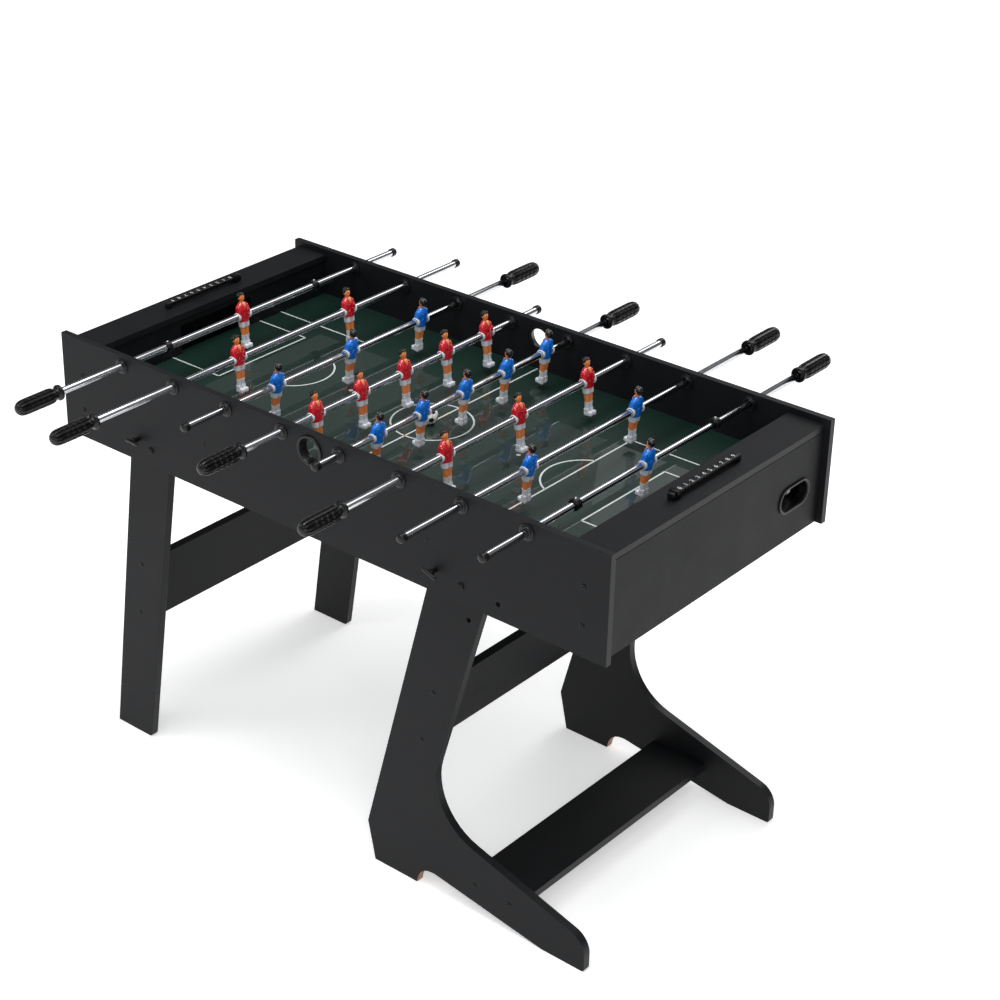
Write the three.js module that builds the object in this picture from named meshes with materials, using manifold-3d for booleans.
// Folding football table (table soccer), in millimetres, +Z up.
// X runs along the table, from the straight legs (-X) to the Z-shaped legs (+X).
// Y runs across it, from the near side panel (-Y) to the far one (+Y).
// The origin is on the floor, in the middle of the table.
import * as THREE from "three";
import { mergeVertices } from "three/addons/utils/BufferGeometryUtils.js";
import Module from "manifold-3d";

const wasm = await Module();
wasm.setup();

// ---------- Driving dimensions ----------

const TOUCH = 0.3; // gap left between two pieces that touch
const BALL_RADIUS = 15;

// Cabinet
const CABINET_LENGTH = 1210;
const CABINET_WIDTH = 610;
const TABLE_HEIGHT = 802;
const SIDE_HEIGHT = 192;
const SIDE_THICKNESS = 12;
const END_THICKNESS = 15;
const END_INSET = 11.6; // side panel's end to the end panel's outer face
const END_LIFT = 2; // end panel's lower edge above the side panels' lower edge
const LEDGE_THICKNESS = 12;
const LEDGE_DROP = 10.5; // side panel's upper edge to the ledge's top
const GOAL_WALL_THICKNESS = 12;
const CHANNEL_CLEARANCE = 10; // the ball channel behind a goal is this much wider than a ball
const GOAL_WALL_SETBACK = 3; // ledge's inner edge to the goal wall's face
const GOAL_WIDTH = 180;
const GOAL_HEIGHT = 56;
const FIELD_DROP = 91.5; // side panel's upper edge to the playing surface
const FIELD_THICKNESS = 10;

// Rods, their men and handles
const END_ROD_GAP = 78.4; // goal wall's face to the nearest rod's axis
const ROD_DROP = 18.5; // side panel's upper edge to the rod's axis
const ROD_RADIUS = 6.35;
const ROD_WALL = 1.2;
const ROD_SIDES = 12;
const CAP_WALL = 1.65; // the cap's thickness round the rod
const CAP_LENGTH = 13;
const CAP_CLEARANCE = 18; // outer wall to the cap's end with the rod pushed right in
const HANDLE_CLEARANCE = 38; // outer wall to the handle with the rod pushed right in
const HANDLE_LENGTH = 96;
const HANDLE_COLLAR_RADIUS = 14;
const HANDLE_COLLAR_LENGTH = 7;
const HANDLE_NECK_WALL = 3.15; // the neck's thickness round the rod
const HANDLE_NECK_LENGTH = 6;
const HANDLE_SHOULDER = 9;
const HANDLE_GRIP_RADIUS = 14;
const HANDLE_END_WALL = 8;
const HANDLE_END_ROUND = { length: 8, depth: 4, shoulder: 2 };
const STOP_WALL = 4.15; // a stop collar's thickness round the rod
const STOP_LENGTH = 12;
const STOP_INSET = 105; // side panel's inner face to a stop collar's middle, rod in the middle
const MAN_STOP_GAP = 1; // between the last man and the sleeve at the end of travel
// A man's sizes; heights are from the rod's axis.
const MAN = { width: 30, headTop: 44, neck: 24, hip: -17, sole: -62, depth: 0.66, shoulders: 0.8 };
const MAN_HEAD = { overlap: 2, depth: 0.85, width: 0.8 };
const MAN_LEGS = { depth: 11, width: 15, overlap: 4 };
const MAN_BOOTS = { depth: 18, width: 16, height: 11, overlap: 5 };
// Distance between neighbouring men, as a share of the width between the side panels.
const MEN_PITCH = { 1: 0, 2: 0.485, 3: 0.319, 5: 0.1886 };
// One entry a rod from -X to +X; rest is how far the men stand off the middle.
const RODS = [
  { team: "red", men: 1, rest: -8 },
  { team: "red", men: 2, rest: -6 },
  { team: "blue", men: 3, rest: 4 },
  { team: "red", men: 5, rest: 0 },
  { team: "blue", men: 5, rest: 10 },
  { team: "red", men: 3, rest: -4 },
  { team: "blue", men: 2, rest: 4 },
  { team: "blue", men: 1, rest: 3 },
];

// Rod sleeves
const SLEEVE_WALL = 4.35; // the sleeve's thickness round its bore
const SLEEVE_FLANGE_REACH = 3; // the flange's edge beyond the sleeve's barrel
const SLEEVE_FLANGE = 3.5;
const SLEEVE_HOLE_CLEARANCE = 0.8;

// Serve cups, in the middle of each side panel
const SERVE_DROP = 32; // side panel's upper edge to the cup's axis
const SERVE_THROAT_CLEARANCE = 2.5; // the throat's radius over the ball's
const SERVE_FUNNEL = 4.5; // the mouth's radius over the throat's
const SERVE_LIP = 1.5; // the barrel's radius over the mouth's
const SERVE_FLANGE_REACH = 3.5; // the flange's edge beyond the barrel
const SERVE_FLANGE = 3;
const SERVE_HOLE_CLEARANCE = 0.8;

// Ball returns, one in each end panel
const RETURN_INSET = 78; // side panel's inner face to the opening's middle
const RETURN_DROP = 112; // side panel's upper edge to the opening's middle
const RETURN_STRAIGHT = 41; // between the centres of the opening's round ends
const RETURN_HOLE_CLEARANCE = 3.5; // the opening's round ends' radius over the ball's
const RETURN_CUP_WALL = 2.5;
const RETURN_FLANGE_REACH = 3.5; // the flange's edge beyond the barrel
const RETURN_FLANGE = 2.5;
const RETURN_FIT = 0.4; // radial gap between the liner's barrel and the panel
const TRAY_THICKNESS = 8;
const TRAY_FALL = 18; // from the tray's high end to its level stretch
const TRAY_STEP = 0.5; // the opening's lower edge below the tray's level stretch

// Score counters
const RAIL_LENGTH = 186;
const RAIL_WIDTH = 12;
const RAIL_HEIGHT = 8;
const RAIL_LIFT = 4.5;
const RAIL_POST = 8;
const MARKER_LENGTH = 8;
const MARKER_WALL = 3;
const MARKER_CLEARANCE = 0.5;

// Legs
const LEG_THICKNESS = 15;
const LEG_INSET = 24.8; // side panel's outer face to the leg's outer face
const PIVOT_RISE = 31; // side panel's lower edge to the pivot's axis
const BOLT_RADIUS = 4;
const BOLT_CLEARANCE = 0.4;
const BOLT_HEAD_RADIUS = 6;
const BOLT_HEAD = 3.2;
const SPACER_RADIUS = 10;
const NUT_RADIUS = 7;
const NUT_LENGTH = 6.5;
const LOCK_PIN_RADIUS = 4;
const LOCK_PIN_CLEARANCE = 0.5;
const LOCK_TRAVEL = 8;
const LOCK_HUB_RADIUS = 6;
const LOCK_HUB = 5;
const LOCK_TIP_GAP = 0.9; // a drawn-out pin's tip to the leg
const LOCK_CHAMFER = 1;
const LOCK_BAR = { length: 30, width: 6, height: 5, sink: 1, tilt: Math.PI / 9 };

// Z-shaped legs: x is from the pivot's axis, z is from the floor
const Z_PIVOT_INSET = 283; // cabinet's end to the pivot's axis
const Z_LOCK = { x: -53, z: 9 }; // lock pin from the pivot
const Z_STORE_HOLE = { x: 74.5, z: -3.5 }; // second lock hole in the side panel, from the pivot
const Z_TOP_RISE = 40; // leg's top above the pivot
const Z_TOP_ROUND = 28;
const Z_BACK_AT_PIVOT = 79; // pivot to the leg's back edge
const Z_FRONT_AT_PIVOT = 39.5; // pivot to the leg's front edge
const Z_KNEE = { x: -221, z: 75 };
const Z_HEEL = { back: -204, front: -107.5 };
const Z_ARCH = { top: 35.5, start: -103.5, crown: -72, ease: -65, end: -60, fall: 1 };
const Z_TOE = { back: 165, tip: 252, round: 5 };
const Z_TOE_SHOULDER = { x: 213, z: 71 };
const Z_INNER_CORNER = { x: -93.4, z: 158.8 }; // where the leg's front and the foot's top would meet
const Z_INNER_ROUND = 112;
const Z_BRACE = { x: -87.5, z: 350, width: 135, thickness: 15 };
const Z_BOARD = { back: -4, front: 110, top: 62, thickness: 15 };

// Straight legs: x is from the pivot's axis, z is from the floor
const S_PIVOT_INSET = 221; // cabinet's end to the pivot's axis
const S_LOCK = { x: -32, z: 11.5 };
const S_TOP_ROUND = 25;
const S_FOOT = { back: -160, front: -68.5, round: 8 };
const S_BACK_AT_PIVOT = 76;
const S_FRONT_AT_PIVOT = 25;
const S_BRACE = { z: 322, offset: 3, width: 138, thickness: 15 };

// ---------- Places worked out from them ----------

const OUTER_Y = CABINET_WIDTH / 2;
const INNER_Y = OUTER_Y - SIDE_THICKNESS;
const SIDE_BOTTOM = TABLE_HEIGHT - SIDE_HEIGHT;
const CHANNEL_WIDTH = 2 * BALL_RADIUS + CHANNEL_CLEARANCE;
const LEDGE_DEPTH = END_THICKNESS + CHANNEL_WIDTH + GOAL_WALL_THICKNESS + GOAL_WALL_SETBACK;
const ROD_Z = TABLE_HEIGHT - ROD_DROP;
const FIELD_Z = TABLE_HEIGHT - FIELD_DROP;
const LEDGE_Z = TABLE_HEIGHT - LEDGE_DROP;
const LEDGE_UNDER = LEDGE_Z - LEDGE_THICKNESS;
const END_OUTER_X = CABINET_LENGTH / 2 - END_INSET;
const END_INNER_X = END_OUTER_X - END_THICKNESS;
const LEDGE_INNER_X = END_OUTER_X - LEDGE_DEPTH;
const GOAL_FACE_X = LEDGE_INNER_X + GOAL_WALL_SETBACK;
const GOAL_BACK_X = GOAL_FACE_X + GOAL_WALL_THICKNESS;
const ROD_SPACING = (2 * (GOAL_FACE_X - END_ROD_GAP)) / (RODS.length - 1);
const CAP_RADIUS = ROD_RADIUS + CAP_WALL;
const STOP_RADIUS = ROD_RADIUS + STOP_WALL;
const STOP_OFFSET = INNER_Y - STOP_INSET;
const HANDLE_NECK_RADIUS = ROD_RADIUS + HANDLE_NECK_WALL;
const SLEEVE_BORE = ROD_RADIUS + TOUCH;
const SLEEVE_RADIUS = SLEEVE_BORE + SLEEVE_WALL;
const SLEEVE_FLANGE_RADIUS = SLEEVE_RADIUS + SLEEVE_FLANGE_REACH;
const SERVE_THROAT_RADIUS = BALL_RADIUS + SERVE_THROAT_CLEARANCE;
const SERVE_MOUTH_RADIUS = SERVE_THROAT_RADIUS + SERVE_FUNNEL;
const SERVE_BARREL_RADIUS = SERVE_MOUTH_RADIUS + SERVE_LIP;
const SERVE_FLANGE_RADIUS = SERVE_BARREL_RADIUS + SERVE_FLANGE_REACH;
const RETURN_OFFSET = INNER_Y - RETURN_INSET;
const RETURN_HOLE_RADIUS = BALL_RADIUS + RETURN_HOLE_CLEARANCE;
const RETURN_BARREL_RADIUS = RETURN_HOLE_RADIUS + RETURN_CUP_WALL;
const RETURN_FLANGE_RADIUS = RETURN_BARREL_RADIUS + RETURN_FLANGE_REACH;
const RETURN_Z = TABLE_HEIGHT - RETURN_DROP;
const TRAY_Z = RETURN_Z - RETURN_HOLE_RADIUS + TRAY_STEP;
const SERVE_Z = TABLE_HEIGHT - SERVE_DROP;
const PIVOT_Z = SIDE_BOTTOM + PIVOT_RISE;
const Z_PIVOT_X = CABINET_LENGTH / 2 - Z_PIVOT_INSET;
const S_PIVOT_X = S_PIVOT_INSET - CABINET_LENGTH / 2;
const LOCK_HOLE_RADIUS = LOCK_PIN_RADIUS + LOCK_PIN_CLEARANCE;
const LEG_OUTER_Y = OUTER_Y - LEG_INSET;
const LEG_INNER_Y = LEG_OUTER_Y - LEG_THICKNESS;
const INSIDE_LENGTH_Y = 2 * (INNER_Y - TOUCH);
const BRACE_LENGTH = 2 * (LEG_INNER_Y - TOUCH);
const RAIL_X = END_OUTER_X - LEDGE_DEPTH / 2;
const SLEEVE_HOLE_RADIUS = SLEEVE_RADIUS + SLEEVE_HOLE_CLEARANCE;

// ---------- Materials ----------

const paint = (color, roughness, metalness = 0) =>
  new THREE.MeshStandardMaterial({ color, roughness, metalness });
const LAMINATE = paint(0x2f2f31, 0.6);
const FIELD_GREEN = paint(0x1d3a30, 0.25);
const CHROME = paint(0xd6d8da, 0.12, 1);
const BLACK_PLASTIC = paint(0x0e0e10, 0.4);
const BLACK_STEEL = paint(0x18181a, 0.45, 0.6);
const BALL_WHITE = paint(0xf1f1ee, 0.35);

// ---------- Helpers ----------

function toManifold(geometry) {
  const bare = geometry.clone();
  bare.deleteAttribute("normal");
  bare.deleteAttribute("uv");
  const merged = mergeVertices(bare, 1e-4);
  return new wasm.Manifold(
    new wasm.Mesh({
      numProp: 3,
      vertProperties: new Float32Array(merged.attributes.position.array),
      triVerts: new Uint32Array(merged.index.array),
    }),
  );
}

function toGeometry(manifold) {
  const mesh = manifold.getMesh();
  const geometry = new THREE.BufferGeometry();
  geometry.setAttribute("position", new THREE.BufferAttribute(mesh.vertProperties, 3));
  geometry.setIndex(new THREE.BufferAttribute(mesh.triVerts, 1));
  return geometry;
}

function join(...geometries) {
  return toGeometry(geometries.map(toManifold).reduce((whole, piece) => whole.add(piece)));
}

function cut(geometry, tool) {
  return toGeometry(toManifold(geometry).subtract(toManifold(tool)));
}

// A flat-shaded named mesh, at its place in its group.
function place(group, name, geometry, material, x = 0, y = 0, z = 0) {
  const flat = geometry.index ? geometry.toNonIndexed() : geometry;
  flat.computeVertexNormals();
  const mesh = new THREE.Mesh(flat, material);
  mesh.name = name;
  mesh.position.set(x, y, z);
  group.add(mesh);
  return mesh;
}

function box(x0, x1, y0, y1, z0, z1) {
  const geometry = new THREE.BoxGeometry(x1 - x0, y1 - y0, z1 - z0);
  return geometry.translate((x0 + x1) / 2, (y0 + y1) / 2, (z0 + z1) / 2);
}

// A turned solid about the Y axis from [radius, y] points that start and end on the axis or close.
function turned(points, sides) {
  const profile = points.map(([radius, y]) => new THREE.Vector2(radius, y));
  return new THREE.LatheGeometry(profile, sides);
}

// A ring about the Y axis: its profile closes on itself.
function turnedRing(points, sides) {
  return turned([...points, points[0]], sides);
}

function roundHole(x, z, radius) {
  return new THREE.Path().absarc(x, z, radius, 0, 2 * Math.PI, true);
}

// An outline in the XZ plane made a plate from y = 0 to y = thickness.
function upright(shape, thickness, curveSegments) {
  const geometry = new THREE.ExtrudeGeometry(shape, {
    depth: thickness,
    bevelEnabled: false,
    curveSegments,
  });
  return geometry.rotateX(Math.PI / 2).translate(0, thickness, 0);
}

// An outline of [y, z] points made a solid between two x values.
function crosswise(points, x0, x1) {
  const shape = new THREE.Shape(points.map(([y, z]) => new THREE.Vector2(y, z)));
  const geometry = new THREE.ExtrudeGeometry(shape, { depth: x1 - x0, bevelEnabled: false });
  return geometry.rotateX(Math.PI / 2).rotateZ(Math.PI / 2).translate(x0, 0, 0);
}

// A stadium outline (two round ends on a straight middle) in [y, z], added to a path.
function stadium(path, y, z, straight, radius) {
  path.absarc(y + straight / 2, z, radius, -Math.PI / 2, Math.PI / 2, false);
  path.absarc(y - straight / 2, z, radius, Math.PI / 2, (3 * Math.PI) / 2, false);
  path.closePath();
  return path;
}

// A [y, z] outline with holes made a plate between two x values.
function endPlate(shape, x0, x1, curveSegments) {
  const geometry = new THREE.ExtrudeGeometry(shape, {
    depth: x1 - x0,
    bevelEnabled: false,
    curveSegments,
  });
  return geometry.rotateX(Math.PI / 2).rotateZ(Math.PI / 2).translate(x0, 0, 0);
}

function rectangle(x0, x1, z0, z1) {
  const shape = new THREE.Shape();
  shape.moveTo(x0, z0);
  shape.lineTo(x1, z0);
  shape.lineTo(x1, z1);
  shape.lineTo(x0, z1);
  shape.closePath();
  return shape;
}

const rodX = (index) => (index - (RODS.length - 1) / 2) * ROD_SPACING;

// Where the men stand along their rod.
function menPlaces(men) {
  const pitch = MEN_PITCH[men] * 2 * INNER_Y;
  return Array.from({ length: men }, (_, i) => (i - (men - 1) / 2) * pitch);
}

// How far a rod slides each way from the middle.
function rodTravel(men) {
  const stop = men === 1 ? STOP_OFFSET + STOP_LENGTH / 2 : 0;
  const lastMan = menPlaces(men).at(-1) + MAN.width / 2;
  return INNER_Y - SLEEVE_FLANGE - TOUCH - MAN_STOP_GAP - Math.max(stop, lastMan);
}

// ---------- Cabinet ----------

function sidePanel() {
  const shape = rectangle(
    -CABINET_LENGTH / 2,
    CABINET_LENGTH / 2,
    SIDE_BOTTOM,
    TABLE_HEIGHT,
  );
  RODS.forEach((_, i) => shape.holes.push(roundHole(rodX(i), ROD_Z, SLEEVE_HOLE_RADIUS)));
  shape.holes.push(roundHole(0, SERVE_Z, SERVE_BARREL_RADIUS + SERVE_HOLE_CLEARANCE));
  for (const [pivotX, lock] of [[Z_PIVOT_X, Z_LOCK], [S_PIVOT_X, S_LOCK]]) {
    shape.holes.push(roundHole(pivotX, PIVOT_Z, BOLT_RADIUS + TOUCH));
    shape.holes.push(roundHole(pivotX + lock.x, PIVOT_Z + lock.z, LOCK_HOLE_RADIUS));
  }
  const store = { x: Z_PIVOT_X + Z_STORE_HOLE.x, z: PIVOT_Z + Z_STORE_HOLE.z };
  shape.holes.push(roundHole(store.x, store.z, LOCK_HOLE_RADIUS));
  return upright(shape, SIDE_THICKNESS, 7);
}

function returnOpening(radius) {
  return stadium(new THREE.Path(), RETURN_OFFSET, RETURN_Z, RETURN_STRAIGHT, radius);
}

function endPanel() {
  const shape = rectangle(
    -INNER_Y + TOUCH,
    INNER_Y - TOUCH,
    SIDE_BOTTOM + END_LIFT,
    LEDGE_UNDER - TOUCH,
  );
  shape.holes.push(returnOpening(RETURN_BARREL_RADIUS + RETURN_FIT));
  return endPlate(shape, END_INNER_X, END_OUTER_X, 5);
}

function goalWall() {
  const points = [
    [-INNER_Y + TOUCH, FIELD_Z + TOUCH],
    [-GOAL_WIDTH / 2, FIELD_Z + TOUCH],
    [-GOAL_WIDTH / 2, FIELD_Z + GOAL_HEIGHT],
    [GOAL_WIDTH / 2, FIELD_Z + GOAL_HEIGHT],
    [GOAL_WIDTH / 2, FIELD_Z + TOUCH],
    [INNER_Y - TOUCH, FIELD_Z + TOUCH],
    [INNER_Y - TOUCH, LEDGE_UNDER - TOUCH],
    [-INNER_Y + TOUCH, LEDGE_UNDER - TOUCH],
  ];
  return crosswise(points, GOAL_FACE_X, GOAL_BACK_X);
}

function ledge() {
  return box(
    LEDGE_INNER_X,
    END_OUTER_X,
    -INNER_Y + TOUCH,
    INNER_Y - TOUCH,
    LEDGE_UNDER,
    LEDGE_Z,
  );
}

function playfield() {
  return box(
    -GOAL_BACK_X,
    GOAL_BACK_X,
    -INNER_Y + TOUCH,
    INNER_Y - TOUCH,
    FIELD_Z - FIELD_THICKNESS,
    FIELD_Z,
  );
}

// The channel behind a goal: a floor that falls to the return opening, and an inner wall.
function returnTray() {
  const wall = GOAL_BACK_X - TRAY_THICKNESS;
  const end = INNER_Y - TOUCH;
  const level = RETURN_OFFSET - RETURN_STRAIGHT / 2 - RETURN_BARREL_RADIUS;
  const floor = crosswise(
    [
      [-end, TRAY_Z + TRAY_FALL - TRAY_THICKNESS],
      [level, TRAY_Z - TRAY_THICKNESS],
      [end, TRAY_Z - TRAY_THICKNESS],
      [end, TRAY_Z],
      [level, TRAY_Z],
      [-end, TRAY_Z + TRAY_FALL],
    ],
    wall,
    END_INNER_X - TOUCH,
  );
  const inner = crosswise(
    [
      [-end, TRAY_Z + TRAY_FALL - TRAY_THICKNESS],
      [level, TRAY_Z - TRAY_THICKNESS],
      [end, TRAY_Z - TRAY_THICKNESS],
      [end, FIELD_Z - FIELD_THICKNESS - TOUCH],
      [-end, FIELD_Z - FIELD_THICKNESS - TOUCH],
    ],
    wall,
    GOAL_BACK_X,
  );
  return join(floor, inner);
}

// A flanged oblong liner in the end panel's return opening.
function returnCup() {
  const ring = (radius, x0, x1) => {
    const shape = stadium(
      new THREE.Shape(),
      RETURN_OFFSET,
      RETURN_Z,
      RETURN_STRAIGHT,
      radius,
    );
    shape.holes.push(returnOpening(RETURN_HOLE_RADIUS));
    return endPlate(shape, x0, x1, 5);
  };
  const face = END_OUTER_X + TOUCH;
  return join(
    ring(RETURN_BARREL_RADIUS, END_INNER_X, face + RETURN_FLANGE / 2),
    ring(RETURN_FLANGE_RADIUS, face, face + RETURN_FLANGE),
  );
}

// A funnel that takes the ball through the side panel; its mouth faces -Y.
function serveCup() {
  const inner = SIDE_THICKNESS;
  return turnedRing(
    [
      [SERVE_MOUTH_RADIUS, -SERVE_FLANGE],
      [SERVE_FLANGE_RADIUS, -SERVE_FLANGE],
      [SERVE_FLANGE_RADIUS, -TOUCH],
      [SERVE_BARREL_RADIUS, -TOUCH],
      [SERVE_BARREL_RADIUS, inner],
      [SERVE_THROAT_RADIUS, inner],
    ],
    24,
  );
}

// A bar on two feet that the score marker slides along.
function scoreRail() {
  const half = RAIL_LENGTH / 2;
  const top = RAIL_LIFT + RAIL_HEIGHT;
  return crosswise(
    [
      [-half, TOUCH],
      [-half + RAIL_POST, TOUCH],
      [-half + RAIL_POST, RAIL_LIFT],
      [half - RAIL_POST, RAIL_LIFT],
      [half - RAIL_POST, TOUCH],
      [half, TOUCH],
      [half, top],
      [-half, top],
    ],
    -RAIL_WIDTH / 2,
    RAIL_WIDTH / 2,
  );
}

// A square ring round the score rail.
function scoreMarker() {
  const hole = RAIL_WIDTH / 2 + MARKER_CLEARANCE;
  const low = RAIL_LIFT - MARKER_CLEARANCE;
  const high = RAIL_LIFT + RAIL_HEIGHT + MARKER_CLEARANCE;
  const shape = rectangle(
    -hole - MARKER_WALL,
    hole + MARKER_WALL,
    low - MARKER_WALL,
    high + MARKER_WALL,
  );
  const opening = new THREE.Path();
  opening.moveTo(-hole, low);
  opening.lineTo(-hole, high);
  opening.lineTo(hole, high);
  opening.lineTo(hole, low);
  opening.closePath();
  shape.holes.push(opening);
  return upright(shape, MARKER_LENGTH, 1);
}

// ---------- Legs ----------

// The x of a leg's edge at height z, on the straight line through two points.
function edgeAt(a, b, z) {
  return a.x + ((b.x - a.x) * (z - a.z)) / (b.z - a.z);
}

// The z of the straight line through two points at x.
function edgeAtX(a, b, x) {
  return a.z + ((b.z - a.z) * (x - a.x)) / (b.x - a.x);
}

// Where a round of the given radius leaves the corner towards a point on one of its edges.
function tangentPoint(corner, towards, other, radius) {
  const a = new THREE.Vector2(towards.x - corner.x, towards.z - corner.z).normalize();
  const b = new THREE.Vector2(other.x - corner.x, other.z - corner.z).normalize();
  const reach = radius / Math.tan(Math.acos(a.dot(b)) / 2);
  return { x: corner.x + a.x * reach, z: corner.z + a.y * reach };
}

// A round corner drawn as a quadratic curve between its two tangent points.
function roundCorner(shape, corner, from, to, radius) {
  const start = tangentPoint(corner, from, to, radius);
  const end = tangentPoint(corner, to, from, radius);
  shape.lineTo(start.x, start.z);
  shape.quadraticCurveTo(corner.x, corner.z, end.x, end.z);
}

// A true round between two tangent points, as an arc about its centre.
function arcCorner(shape, corner, from, to, radius, clockwise) {
  const start = tangentPoint(corner, from, to, radius);
  const end = tangentPoint(corner, to, from, radius);
  const middle = new THREE.Vector2(
    (start.x + end.x) / 2 - corner.x,
    (start.z + end.z) / 2 - corner.z,
  );
  const half = Math.hypot(end.x - start.x, end.z - start.z) / 2;
  middle.setLength(middle.length() + Math.sqrt(radius * radius - half * half));
  const centre = { x: corner.x + middle.x, z: corner.z + middle.y };
  shape.lineTo(start.x, start.z);
  shape.absarc(
    centre.x,
    centre.z,
    radius,
    Math.atan2(start.z - centre.z, start.x - centre.x),
    Math.atan2(end.z - centre.z, end.x - centre.x),
    clockwise,
  );
}

// The pivot's and the lock pin's holes, in a leg drawn from its pivot.
function legHoles(shape, ...pins) {
  shape.holes.push(roundHole(0, PIVOT_Z, BOLT_RADIUS + BOLT_CLEARANCE));
  for (const pin of pins) shape.holes.push(roundHole(pin.x, PIVOT_Z + pin.z, LOCK_HOLE_RADIUS));
}

// The Z-shaped leg: an upright that leans back to a knee, and a long foot that points forward.
function zLeg() {
  const top = PIVOT_Z + Z_TOP_RISE;
  const backPivot = { x: -Z_BACK_AT_PIVOT, z: PIVOT_Z };
  const frontPivot = { x: Z_FRONT_AT_PIVOT, z: PIVOT_Z };
  const backTop = { x: edgeAt(Z_KNEE, backPivot, top), z: top };
  const frontTop = { x: edgeAt(Z_INNER_CORNER, frontPivot, top), z: top };
  const toeBack = { x: Z_TOE.back, z: 0 };
  const toe = { x: Z_TOE.tip, z: 0 };
  const toeTop = { x: Z_TOE.tip, z: edgeAtX(Z_INNER_CORNER, Z_TOE_SHOULDER, Z_TOE.tip) };
  const shape = new THREE.Shape();
  shape.moveTo(Z_KNEE.x, Z_KNEE.z);
  shape.lineTo(Z_HEEL.back, 0);
  shape.lineTo(Z_HEEL.front, 0);
  shape.quadraticCurveTo(Z_ARCH.start, Z_ARCH.top, Z_ARCH.crown, Z_ARCH.top);
  shape.quadraticCurveTo(Z_ARCH.ease, Z_ARCH.top, Z_ARCH.end, Z_ARCH.top - Z_ARCH.fall);
  shape.lineTo(toeBack.x, toeBack.z);
  roundCorner(shape, toe, toeBack, toeTop, Z_TOE.round);
  arcCorner(shape, toeTop, toe, Z_INNER_CORNER, Z_TOE.tip - Z_TOE_SHOULDER.x, false);
  arcCorner(shape, Z_INNER_CORNER, Z_TOE_SHOULDER, frontPivot, Z_INNER_ROUND, true);
  arcCorner(shape, frontTop, Z_INNER_CORNER, backTop, Z_TOP_ROUND, false);
  shape.lineTo(backTop.x, backTop.z);
  shape.closePath();
  // The side panel's second hole meets the leg's second one when the cabinet stands on end.
  legHoles(shape, Z_LOCK, { x: Z_STORE_HOLE.z, z: -Z_STORE_HOLE.x });
  return upright(shape, LEG_THICKNESS, 6);
}

function straightLeg() {
  const back = { x: -S_BACK_AT_PIVOT, z: PIVOT_Z };
  const front = { x: S_FRONT_AT_PIVOT, z: PIVOT_Z };
  const footBack = { x: S_FOOT.back, z: 0 };
  const footFront = { x: S_FOOT.front, z: 0 };
  const top = PIVOT_Z + S_TOP_ROUND;
  const backTop = { x: edgeAt(footBack, back, top), z: top };
  const shape = new THREE.Shape();
  shape.moveTo(footBack.x, footBack.z);
  roundCorner(shape, footFront, footBack, front, S_FOOT.round);
  shape.lineTo(front.x, front.z);
  shape.absarc(0, PIVOT_Z, S_TOP_ROUND, 0, Math.PI / 2, false);
  shape.lineTo(backTop.x, backTop.z);
  shape.closePath();
  legHoles(shape, S_LOCK);
  return upright(shape, LEG_THICKNESS, 8);
}

// A flat board across a pair of legs, leaning with their middle line.
function brace(width, thickness) {
  return new THREE.BoxGeometry(thickness, BRACE_LENGTH, width);
}

// A shouldered bolt: head, shank, spacer between panel and leg, and its nut; its head is at -Y.
function pivotBolt() {
  const head = OUTER_Y + TOUCH;
  const spacer = INNER_Y - TOUCH;
  const leg = LEG_OUTER_Y + TOUCH;
  const nut = LEG_INNER_Y - TOUCH;
  return turned(
    [
      [0, -head - BOLT_HEAD],
      [BOLT_HEAD_RADIUS, -head - BOLT_HEAD],
      [BOLT_HEAD_RADIUS, -head],
      [BOLT_RADIUS, -head],
      [BOLT_RADIUS, -spacer],
      [SPACER_RADIUS, -spacer],
      [SPACER_RADIUS, -leg],
      [BOLT_RADIUS, -leg],
      [BOLT_RADIUS, -nut],
      [NUT_RADIUS, -nut],
      [NUT_RADIUS, -nut + NUT_LENGTH],
      [0, -nut + NUT_LENGTH],
    ],
    12,
  );
}

// A T-handled lock pin, drawn out of the leg; its bar is at -Y.
function lockKnob() {
  const tip = -LEG_OUTER_Y - LOCK_TIP_GAP;
  const hub = -OUTER_Y - TOUCH - LOCK_TRAVEL;
  const end = hub - LOCK_HUB;
  const pin = turned(
    [
      [0, end],
      [LOCK_HUB_RADIUS, end],
      [LOCK_HUB_RADIUS, hub],
      [LOCK_PIN_RADIUS, hub],
      [LOCK_PIN_RADIUS, tip - LOCK_CHAMFER],
      [LOCK_PIN_RADIUS - LOCK_CHAMFER, tip],
      [0, tip],
    ],
    12,
  );
  const bar = box(
    -LOCK_BAR.length / 2,
    LOCK_BAR.length / 2,
    end - LOCK_BAR.height + LOCK_BAR.sink,
    end + LOCK_BAR.sink,
    -LOCK_BAR.width / 2,
    LOCK_BAR.width / 2,
  );
  return join(pin, bar.rotateY(LOCK_BAR.tilt));
}

// ---------- Rods ----------

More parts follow.
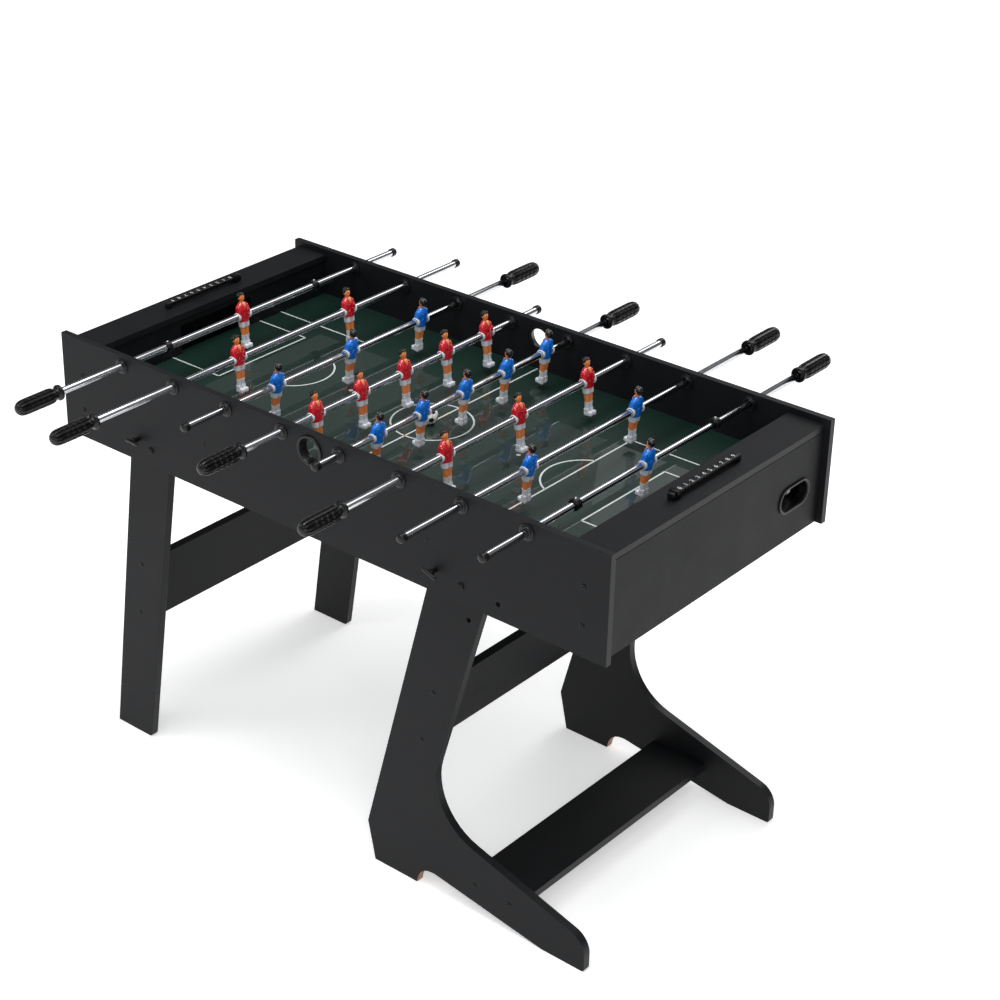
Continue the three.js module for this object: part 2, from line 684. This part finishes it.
// One man: boots, legs, a tapered body with his arms, and a head; the rod's axis is at z = 0.
function man() {
  const half = MAN.width / 2;
  const body = new THREE.CylinderGeometry(half * MAN.shoulders, half, MAN.neck - MAN.hip, 6);
  body.rotateX(Math.PI / 2).rotateZ(Math.PI / 2).scale(MAN.depth, 1, 1);
  body.translate(0, 0, (MAN.neck + MAN.hip) / 2);
  const headHalf = (MAN.headTop - MAN.neck + MAN_HEAD.overlap) / 2;
  const head = new THREE.SphereGeometry(headHalf, 6, 4);
  head.rotateX(Math.PI / 2).scale(MAN_HEAD.depth, MAN_HEAD.width, 1);
  head.translate(0, 0, MAN.headTop - headHalf);
  const legs = block(MAN_LEGS, MAN.sole + MAN_BOOTS.height - MAN_BOOTS.overlap, MAN.hip + MAN_LEGS.overlap);
  const boots = block(MAN_BOOTS, MAN.sole, MAN.sole + MAN_BOOTS.height);
  return join(body, head, legs, boots);
}

// A block round the Z axis between two heights.
function block({ depth, width }, z0, z1) {
  return box(-depth / 2, depth / 2, -width / 2, width / 2, z0, z1);
}

// A rod with its cap at -Y, its men and, on a goalkeeper's rod, its stop collars.
// The tube is bored from its handle end, at +Y, to the cap.
function rodWithMen(travel, men) {
  const capEnd = -(OUTER_Y + travel + CAP_CLEARANCE);
  const handleEnd = OUTER_Y + travel + HANDLE_CLEARANCE + HANDLE_LENGTH - HANDLE_END_WALL - TOUCH;
  const collars = men === 1 ? [-STOP_OFFSET, STOP_OFFSET] : [];
  const outline = [
    [0, capEnd],
    [CAP_RADIUS, capEnd],
    [CAP_RADIUS, capEnd + CAP_LENGTH],
    [ROD_RADIUS, capEnd + CAP_LENGTH],
  ];
  for (const y of collars) {
    outline.push([ROD_RADIUS, y - STOP_LENGTH / 2]);
    outline.push([STOP_RADIUS, y - STOP_LENGTH / 2]);
    outline.push([STOP_RADIUS, y + STOP_LENGTH / 2]);
    outline.push([ROD_RADIUS, y + STOP_LENGTH / 2]);
  }
  outline.push([ROD_RADIUS, handleEnd]);
  outline.push([0, handleEnd]);
  const bore = new THREE.CylinderGeometry(
    ROD_RADIUS - ROD_WALL,
    ROD_RADIUS - ROD_WALL,
    handleEnd - capEnd,
    ROD_SIDES,
  );
  bore.translate(0, (handleEnd + capEnd) / 2 + CAP_LENGTH, 0);
  const figures = menPlaces(men).map((y) => man().translate(0, y, 0));
  return cut(join(turned(outline, ROD_SIDES), ...figures), bore);
}

function handle(travel) {
  const start = OUTER_Y + travel + HANDLE_CLEARANCE;
  const neck = start + HANDLE_COLLAR_LENGTH;
  const grip = neck + HANDLE_NECK_LENGTH;
  const end = start + HANDLE_LENGTH;
  const bore = ROD_RADIUS + TOUCH;
  const outline = [
    [bore, start],
    [HANDLE_COLLAR_RADIUS, start],
    [HANDLE_COLLAR_RADIUS, neck],
    [HANDLE_NECK_RADIUS, neck],
    [HANDLE_NECK_RADIUS, grip],
    [HANDLE_GRIP_RADIUS, grip + HANDLE_SHOULDER],
    [HANDLE_GRIP_RADIUS, end - HANDLE_END_ROUND.length],
    [HANDLE_GRIP_RADIUS - HANDLE_END_ROUND.depth, end - HANDLE_END_ROUND.shoulder],
    [0, end],
    [0, end - HANDLE_END_WALL],
    [bore, end - HANDLE_END_WALL],
    [bore, start],
  ];
  return turned(outline, ROD_SIDES);
}

// A flanged sleeve in the side panel at +Y, which the rod slides through.
function rodSleeve() {
  const inner = INNER_Y - TOUCH;
  const outer = OUTER_Y + TOUCH;
  return turnedRing(
    [
      [SLEEVE_BORE, inner - SLEEVE_FLANGE],
      [SLEEVE_FLANGE_RADIUS, inner - SLEEVE_FLANGE],
      [SLEEVE_FLANGE_RADIUS, inner],
      [SLEEVE_RADIUS, inner],
      [SLEEVE_RADIUS, outer],
      [SLEEVE_FLANGE_RADIUS, outer],
      [SLEEVE_FLANGE_RADIUS, outer + SLEEVE_FLANGE],
      [SLEEVE_BORE, outer + SLEEVE_FLANGE],
    ],
    ROD_SIDES,
  );
}

// ---------- Assembly ----------

const table = new THREE.Group();
const cabinet = new THREE.Group();
table.add(cabinet);

place(cabinet, "side_panel_near", sidePanel(), LAMINATE, 0, -OUTER_Y, 0);
place(cabinet, "side_panel_far", sidePanel(), LAMINATE, 0, INNER_Y, 0);
place(cabinet, "playfield", playfield(), FIELD_GREEN);

// The two ends are the same, turned half round.
for (const [side, turn] of [["right", 0], ["left", Math.PI]]) {
  const end = new THREE.Group();
  end.rotation.z = turn;
  cabinet.add(end);
  place(end, `end_panel_${side}`, endPanel(), LAMINATE);
  place(end, `goal_wall_${side}`, goalWall(), LAMINATE);
  place(end, `ledge_${side}`, ledge(), LAMINATE);
  place(end, `return_tray_${side}`, returnTray(), LAMINATE);
  place(end, `return_cup_${side}`, returnCup(), BLACK_PLASTIC);
  const counter = new THREE.Group();
  counter.position.set(RAIL_X, 0, LEDGE_Z);
  end.add(counter);
  place(counter, `score_rail_${side}`, scoreRail(), BLACK_PLASTIC);
  const markerY = -RAIL_LENGTH / 2 + RAIL_POST + MARKER_CLEARANCE;
  place(counter, `score_marker_${side}`, scoreMarker(), BLACK_PLASTIC, 0, markerY, 0);
}

// The two sides' fittings are the same, turned half round about Z.
for (const [side, turn] of [["near", 0], ["far", Math.PI]]) {
  const fittings = new THREE.Group();
  fittings.rotation.z = turn;
  cabinet.add(fittings);
  const across = turn ? -1 : 1;
  place(fittings, `serve_cup_${side}`, serveCup(), BLACK_PLASTIC, 0, -OUTER_Y, SERVE_Z);
  for (const [end, pivotX, lock] of [["right", Z_PIVOT_X, Z_LOCK], ["left", S_PIVOT_X, S_LOCK]]) {
    const x = across * pivotX;
    place(fittings, `pivot_bolt_${side}_${end}`, pivotBolt(), BLACK_STEEL, x, 0, PIVOT_Z);
    const pin = { x: across * (pivotX + lock.x), z: PIVOT_Z + lock.z };
    place(fittings, `lock_knob_${side}_${end}`, lockKnob(), BLACK_PLASTIC, pin.x, 0, pin.z);
  }
}

const zFrame = new THREE.Group();
zFrame.position.x = Z_PIVOT_X;
table.add(zFrame);
place(zFrame, "z_leg_near", zLeg(), LAMINATE, 0, -LEG_OUTER_Y, 0);
place(zFrame, "z_leg_far", zLeg(), LAMINATE, 0, LEG_INNER_Y, 0);
const zBrace = brace(Z_BRACE.width, Z_BRACE.thickness);
const zLean = Math.atan2(-Z_BACK_AT_PIVOT - Z_KNEE.x, PIVOT_Z - Z_KNEE.z);
place(zFrame, "z_leg_brace", zBrace, LAMINATE, Z_BRACE.x, 0, Z_BRACE.z).rotation.y = zLean;
const zBoard = box(
  Z_BOARD.back,
  Z_BOARD.front,
  -BRACE_LENGTH / 2,
  BRACE_LENGTH / 2,
  Z_BOARD.top - Z_BOARD.thickness,
  Z_BOARD.top,
);
place(zFrame, "z_leg_foot_board", zBoard, LAMINATE);

const straightFrame = new THREE.Group();
straightFrame.position.x = S_PIVOT_X;
table.add(straightFrame);
place(straightFrame, "straight_leg_near", straightLeg(), LAMINATE, 0, -LEG_OUTER_Y, 0);
place(straightFrame, "straight_leg_far", straightLeg(), LAMINATE, 0, LEG_INNER_Y, 0);
const footMiddle = { x: (S_FOOT.back + S_FOOT.front) / 2, z: 0 };
const headMiddle = { x: (S_FRONT_AT_PIVOT - S_BACK_AT_PIVOT) / 2, z: PIVOT_Z };
const sLean = Math.atan2(headMiddle.x - footMiddle.x, PIVOT_Z);
const sBrace = brace(S_BRACE.width, S_BRACE.thickness);
const sBraceX = edgeAt(footMiddle, headMiddle, S_BRACE.z) + S_BRACE.offset;
place(straightFrame, "straight_leg_brace", sBrace, LAMINATE, sBraceX, 0, S_BRACE.z).rotation.y = sLean;

RODS.forEach(({ team, men, rest }, i) => {
  const travel = rodTravel(men);
  const number = i + 1;
  // Handles are at +Y on blue rods and, turned half round, at -Y on red ones.
  const rod = new THREE.Group();
  rod.position.set(rodX(i), 0, ROD_Z);
  rod.rotation.z = team === "red" ? Math.PI : 0;
  table.add(rod);
  const shift = team === "red" ? -rest : rest;
  place(rod, `rod_${number}_${team}`, rodWithMen(travel, men), CHROME, 0, shift, 0);
  place(rod, `handle_${number}`, handle(travel), BLACK_PLASTIC, 0, shift, 0);
  place(rod, `sleeve_${number}`, rodSleeve(), BLACK_PLASTIC);
});

const ball = new THREE.IcosahedronGeometry(BALL_RADIUS, 1);
const played = { x: 1, y: -8, z: FIELD_Z + BALL_RADIUS + TOUCH };
place(table, "ball_on_field", ball, BALL_WHITE, played.x, played.y, played.z);
const returned = {
  x: (GOAL_BACK_X + END_INNER_X) / 2,
  y: RETURN_OFFSET + RETURN_STRAIGHT / 2,
  z: TRAY_Z + BALL_RADIUS + TOUCH,
};
place(table, "ball_in_return", ball, BALL_WHITE, returned.x, returned.y, returned.z);

export default table;
